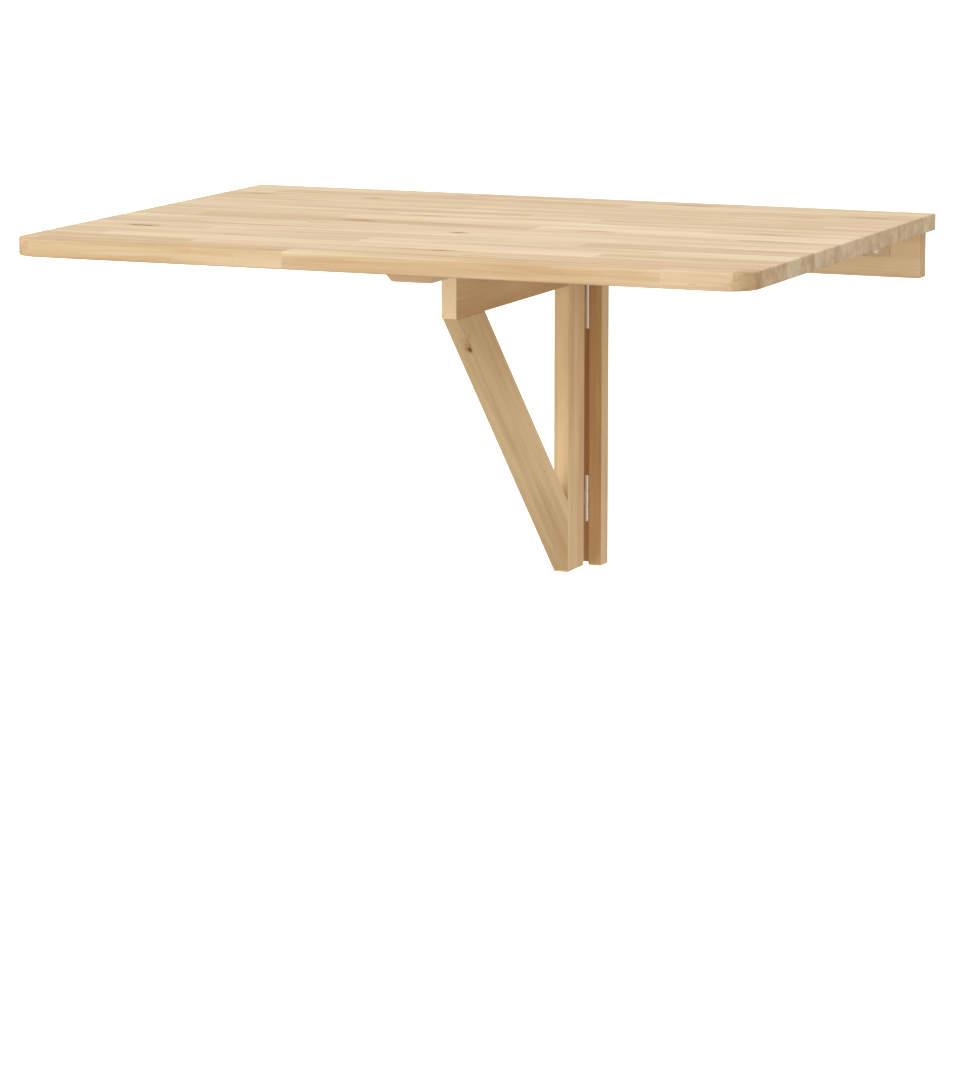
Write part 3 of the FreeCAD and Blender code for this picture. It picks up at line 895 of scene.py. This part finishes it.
def screw_holes(node):
    """The countersunk holes of a timber's wall screws, as the shapes to cut away."""
    look = settings().steel
    low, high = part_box(node)
    spare, sides = look.sink_depth, look.hole_sides
    flare = (look.sink_radius - look.hole_radius) / look.sink_depth
    stations = (
        (low.y - spare, look.sink_radius + flare * spare),
        (low.y + look.sink_depth, look.hole_radius),
        (high.y + spare, look.hole_radius),
    )
    shape = bmesh.new()
    for place in wall_screws(node):
        loops = [ring(shape, place, depth, radius, sides) for depth, radius in stations]
        for first, second in zip(loops, loops[1:]):
            for step in range(sides):
                shape.faces.new((first[step - 1], first[step], second[step], second[step - 1]))
        shape.faces.new(loops[0])
        shape.faces.new(loops[-1])
    bmesh.ops.recalc_face_normals(shape, faces=shape.faces)
    return shape


def make_wall_strip():
    """The wall strip. Its thin tongue at the wall on its left fills the slit behind the post and is
    painted dark as that slit's shade, and its front is painted shaded against its paler, lit right edge.
    """
    low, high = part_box("wall_strip")
    corners = node_corners("wall_strip")
    shoulder = min(corner.x for corner in corners if corner.y < low.y + ON_FACE)
    step = min(corner.y for corner in corners if corner.x < low.x + ON_FACE)
    section = [
        (shoulder, low.y), (high.x, low.y), (high.x, high.y), (low.x, high.y), (low.x, step),
        (shoulder, step)]
    shape = prism([Vector((x, y, low.z)) for x, y in section], UP * (high.z - low.z))
    ease, holes = settings().birch.timber_ease, screw_holes("wall_strip")
    strip = eased(shape, "wall_strip_birch", ease, holes)
    place = log_place(random.Random(STRIP_SEED))
    staves = {name: Stave(place, *look) for name, look in STRIP_SHADED_LOOKS.items()}

    def stave_of(point):
        if point.x < shoulder - NEAR:
            return staves["tongue"]
        return staves["edge" if point.x > high.x - NEAR else "front"]

    carry_grain(strip.data, UP, stave_of)
    finish_piece(strip, timber_birch(), "wall_strip")


def make_wall_timber():
    for rail, seed in (("rail_right", 31), ("rail_left", 32)):
        holes = screw_holes(rail)
        make_timber(rail, board(rail), ALONG_WALL, seed, tone=-0.5, end_tone=1.5, holes=holes)
    make_wall_strip()


def paint_nodes(names, material):
    """Give CAD nodes that keep their shape a material."""
    for name in names:
        mesh = frame["nodes"][name].data
        mesh.materials.clear()
        mesh.materials.append(material)


def make_dowels():
    paint_nodes([name for name in frame["nodes"] if name.endswith("_dowels")], beech())


def make_hinges():
    hardware = [name for name in frame["nodes"] if name.endswith(("_plate", "_pin"))]
    paint_nodes([name for name in hardware if name.startswith("bracket")], bright_zinc())
    # The leaf's hinges take the darker zinc, which paints the shade under the leaf.
    paint_nodes([name for name in hardware if name.startswith("leaf")], dull_zinc())


def screw_heads(node, direction):
    """The middle of each screw head of a CAD node, and the screws' length."""
    shape = bmesh.new()
    shape.from_mesh(frame["nodes"][node].data)
    bmesh.ops.remove_doubles(shape, verts=shape.verts, dist=ONE_CORNER)
    heads, length, left = [], 0.0, set(shape.verts)
    while left:
        island, edge = set(), [left.pop()]
        while edge:
            corner = edge.pop()
            island.add(corner)
            near = {other for link in corner.link_edges for other in link.verts} & left
            left -= near
            edge += near
        reaches = [corner.co.dot(direction) for corner in island]
        middle = sum((corner.co for corner in island), Vector()) / len(island)
        heads.append(middle + direction * (min(reaches) - middle.dot(direction)))
        length = max(reaches) - min(reaches)
    shape.free()
    return heads, length


def tree_input(tree, name, kind):
    return tree.interface.new_socket(name, in_out="INPUT", socket_type=kind)


def tree_node(tree, kind, inputs, **choices):
    return shader_node(tree, kind, inputs, **choices).outputs[0]


def screw_tree():
    """A node tree that stands a countersunk screw with a cross recess on every point of a mesh."""
    tree = bpy.data.node_groups.new("countersunk_screws", "GeometryNodeTree")
    tree_input(tree, "Points", "NodeSocketGeometry")
    for name in (
            "Head Radius", "Neck Radius", "Head Depth", "Shank Radius", "Length", "Recess Reach",
            "Recess Width", "Recess Depth"):
        tree_input(tree, name, "NodeSocketFloat")
    tree_input(tree, "Direction", "NodeSocketVector")
    tree_input(tree, "Material", "NodeSocketMaterial")
    tree.interface.new_socket("Screws", in_out="OUTPUT", socket_type="NodeSocketGeometry")
    given = tree.nodes.new("NodeGroupInput").outputs
    cone = "GeometryNodeMeshCone"
    head = tree_node(tree, cone, {
        "Vertices": HEAD_SIDES, "Radius Top": given["Neck Radius"],
        "Radius Bottom": given["Head Radius"], "Depth": given["Head Depth"]})
    inside_head = calculate(tree, "MULTIPLY", given["Head Depth"], 0.5)
    shank = tree_node(tree, cone, {
        "Vertices": SHANK_SIDES, "Radius Top": TIP_RADIUS, "Radius Bottom": given["Shank Radius"],
        "Depth": calculate(tree, "SUBTRACT", given["Length"], inside_head)})
    from_head = tree_node(tree, "ShaderNodeCombineXYZ", {"Z": inside_head})
    shank = tree_node(tree, "GeometryNodeTransform", {"Geometry": shank, "Translation": from_head})
    arm_length = calculate(tree, "MULTIPLY", given["Recess Reach"], 2.0)
    arm_depth = calculate(tree, "MULTIPLY", given["Recess Depth"], 2.0)
    arm_width = given["Recess Width"]
    arms = []
    for side_x, side_y in ((arm_length, arm_width), (arm_width, arm_length)):
        size = tree_node(tree, "ShaderNodeCombineXYZ", {"X": side_x, "Y": side_y, "Z": arm_depth})
        arms.append(tree_node(tree, "GeometryNodeMeshCube", {"Size": size}))
    whole = tree.nodes.new("GeometryNodeMeshBoolean")
    whole.operation = "UNION"
    for part in (head, shank):
        tree.links.new(part, whole.inputs["Mesh 2"])
    sunk = tree.nodes.new("GeometryNodeMeshBoolean")
    sunk.operation = "DIFFERENCE"
    tree.links.new(whole.outputs[0], sunk.inputs["Mesh 1"])
    for arm in arms:
        tree.links.new(arm, sunk.inputs["Mesh 2"])
    turn = tree_node(
        tree, "FunctionNodeAlignRotationToVector", {"Vector": given["Direction"]}, axis="Z")
    stood = tree_node(tree, "GeometryNodeInstanceOnPoints", {
        "Points": given["Points"], "Instance": sunk.outputs[0], "Rotation": turn})
    real = tree_node(tree, "GeometryNodeRealizeInstances", {"Geometry": stood})
    done = tree_node(tree, "GeometryNodeSetMaterial", {
        "Geometry": real, "Material": given["Material"]})
    tree.links.new(done, tree.nodes.new("NodeGroupOutput").inputs["Screws"])
    return tree


def make_screws():
    """The screws of the hinges and of the spacer block."""
    look, tree, steel = settings().steel, screw_tree(), bright_zinc()
    groups = {
        "leaf_hinge_rail_screws": TO_WALL,
        "leaf_hinge_leaf_screws": UP,
        "bracket_hinge_strip_screws": ALONG_WALL,
        "bracket_hinge_post_screws": -TO_WALL,
        "spacer_block_screws": UP,
    }
    for node, direction in groups.items():
        heads, length = screw_heads(node, direction)
        points = bpy.data.meshes.new(node + "_points")
        points.from_pydata(heads, [], [])
        stand = link_object(node + "_points", points)
        modifier = stand.modifiers.new("Screws", "NODES")
        modifier.node_group = tree
        sizes = {
            "Head Radius": look.head_radius, "Neck Radius": look.neck_radius,
            "Head Depth": look.head_depth, "Shank Radius": look.shank_radius, "Length": length,
            "Recess Reach": look.recess_reach, "Recess Width": look.recess_width,
            "Recess Depth": look.recess_depth, "Direction": direction, "Material": steel}
        for socket in tree.interface.items_tree:
            if socket.in_out == "INPUT" and socket.name in sizes:
                modifier[socket.identifier] = sizes[socket.name]
        finish_piece(plain_mesh(stand, node + "_steel"), steel, node)


def make_floor():
    """A pale floor that only the camera sees, and only from above, so that it hides nothing."""
    look = settings().studio
    _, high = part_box("leaf_top")
    half, drop = look.floor_size / 2, high.z - look.leaf_height
    corners = [(-half, -half, drop), (half, -half, drop), (half, half, drop), (-half, half, drop)]
    mesh = bpy.data.meshes.new("studio_floor")
    mesh.from_pydata(corners, [], [(0, 1, 2, 3)])
    material, tree, _ = new_material("pale_floor")
    paint = shader_node(tree, "ShaderNodeBsdfDiffuse", {"Color": opaque(look.floor_colour)})
    clear = shader_node(tree, "ShaderNodeBsdfTransparent", {})
    rear = shader_node(tree, "ShaderNodeNewGeometry", {}).outputs["Backfacing"]
    sided = shader_node(tree, "ShaderNodeMixShader", {
        0: rear, 1: paint.outputs[0], 2: clear.outputs[0]})
    tree.links.new(sided.outputs[0], tree.nodes["Material Output"].inputs["Surface"])
    mesh.materials.append(material)
    floor = link_object("studio_floor", mesh)
    floor.visible_diffuse = floor.visible_glossy = floor.visible_shadow = False


def make_sky():
    """Even white light from all round, a little stronger from above."""
    look = settings().studio
    world = bpy.data.worlds.new("studio_sky")
    world.use_nodes = True
    tree = world.node_tree
    direction = shader_node(tree, "ShaderNodeTexCoord", {}).outputs["Generated"]
    height = shader_node(tree, "ShaderNodeSeparateXYZ", {0: direction}).outputs["Z"]
    strength = shader_node(tree, "ShaderNodeMapRange", {
        "Value": height, "From Min": -1.0, "From Max": 1.0, "To Min": look.sky_low,
        "To Max": look.sky_high}).outputs["Result"]
    background = tree.nodes["Background"]
    background.inputs["Color"].default_value = opaque((1, 1, 1))
    tree.links.new(strength, background.inputs["Strength"])
    bpy.context.scene.world = world


def make_lamps():
    """Soft lamps all round the table, each far away."""
    look = settings().studio
    for name, angles in LAMPS.items():
        left, above = (math.radians(angle) for angle in angles)
        lamp = bpy.data.lights.new(name + "_lamp", "SUN")
        lamp.energy = getattr(look, name) * math.pi
        lamp.angle = look.lamp_softness
        level = math.cos(above)
        shines = Vector((math.sin(left) * level, math.cos(left) * level, -math.sin(above)))
        stand = link_object(name + "_lamp", lamp)
        stand.rotation_euler = shines.to_track_quat("-Z", "Y").to_euler()
        stand.visible_glossy = name != "back"


def make_camera():
    look = settings().studio
    data = bpy.data.cameras.new("studio_camera")
    data.lens = look.camera_lens
    camera = link_object("studio_camera", data)
    across, down = look.camera_azimuth, look.camera_pitch
    level = math.cos(down)
    ahead = Vector((-math.sin(across) * level, math.cos(across) * level, -math.sin(down)))
    camera.location = look.camera_place
    camera.rotation_euler = ahead.to_track_quat("-Z", "Y").to_euler()
    bpy.context.scene.camera = camera


class DROPLEAF_OT_leaf(bpy.types.Operator):
    """Make the leaf from glued birch staves"""

    bl_idname = "drop_leaf.leaf"
    bl_label = "Leaf"

    def execute(self, context):
        make_leaf()
        return {"FINISHED"}


class DROPLEAF_OT_block(bpy.types.Operator):
    """Make the spacer block under the leaf"""

    bl_idname = "drop_leaf.block"
    bl_label = "Spacer Block"

    def execute(self, context):
        make_block()
        return {"FINISHED"}


class DROPLEAF_OT_bracket(bpy.types.Operator):
    """Make the post, the arm and the brace of the swinging bracket"""

    bl_idname = "drop_leaf.bracket"
    bl_label = "Bracket"

    def execute(self, context):
        make_bracket()
        return {"FINISHED"}


class DROPLEAF_OT_wall_timber(bpy.types.Operator):
    """Make the rails and the upright strip on the wall"""

    bl_idname = "drop_leaf.wall_timber"
    bl_label = "Wall Timber"

    def execute(self, context):
        make_wall_timber()
        return {"FINISHED"}


class DROPLEAF_OT_dowels(bpy.types.Operator):
    """Finish the dowels of the bracket"""

    bl_idname = "drop_leaf.dowels"
    bl_label = "Dowels"

    def execute(self, context):
        make_dowels()
        return {"FINISHED"}


class DROPLEAF_OT_hinges(bpy.types.Operator):
    """Finish the plates and pins of the hinges"""

    bl_idname = "drop_leaf.hinges"
    bl_label = "Hinges"

    def execute(self, context):
        make_hinges()
        return {"FINISHED"}


class DROPLEAF_OT_screws(bpy.types.Operator):
    """Make the countersunk screws"""

    bl_idname = "drop_leaf.screws"
    bl_label = "Screws"

    def execute(self, context):
        make_screws()
        return {"FINISHED"}


class DROPLEAF_OT_stage(bpy.types.Operator):
    """Make the floor, the light and the camera"""

    bl_idname = "drop_leaf.stage"
    bl_label = "Stage"

    def execute(self, context):
        make_floor()
        make_sky()
        make_lamps()
        make_camera()
        context.scene.view_settings.view_transform = "Standard"
        return {"FINISHED"}


OPERATORS = (
    DROPLEAF_OT_leaf,
    DROPLEAF_OT_block,
    DROPLEAF_OT_bracket,
    DROPLEAF_OT_wall_timber,
    DROPLEAF_OT_dowels,
    DROPLEAF_OT_hinges,
    DROPLEAF_OT_screws,
    DROPLEAF_OT_stage,
)


class DROPLEAF_PT_sidebar(bpy.types.Panel):
    """The table's settings and its makers"""

    bl_label = "Wall Drop Leaf Table"
    bl_space_type = "VIEW_3D"
    bl_region_type = "UI"
    bl_category = "Drop Leaf"

    def draw(self, context):
        for group in (settings().birch, settings().steel, settings().studio):
            column = self.layout.column(align=True)
            for name in group.__annotations__:
                column.prop(group, name)
        for operator in OPERATORS:
            self.layout.operator(operator.bl_idname)


CLASSES = (
    BirchSettings,
    SteelSettings,
    StudioSettings,
    DropLeafSettings,
    *OPERATORS,
    DROPLEAF_PT_sidebar,
)


def register():
    for item in CLASSES:
        bpy.utils.register_class(item)
    bpy.types.Scene.drop_leaf = PointerProperty(type=DropLeafSettings)


def unregister():
    del bpy.types.Scene.drop_leaf
    for item in reversed(CLASSES):
        bpy.utils.unregister_class(item)


def main():
    register()
    bpy.ops.drop_leaf.leaf()
    bpy.ops.drop_leaf.block()
    bpy.ops.drop_leaf.bracket()
    bpy.ops.drop_leaf.wall_timber()
    bpy.ops.drop_leaf.dowels()
    bpy.ops.drop_leaf.hinges()
    bpy.ops.drop_leaf.screws()
    bpy.ops.drop_leaf.stage()


if __name__ == "__main__":
    main()
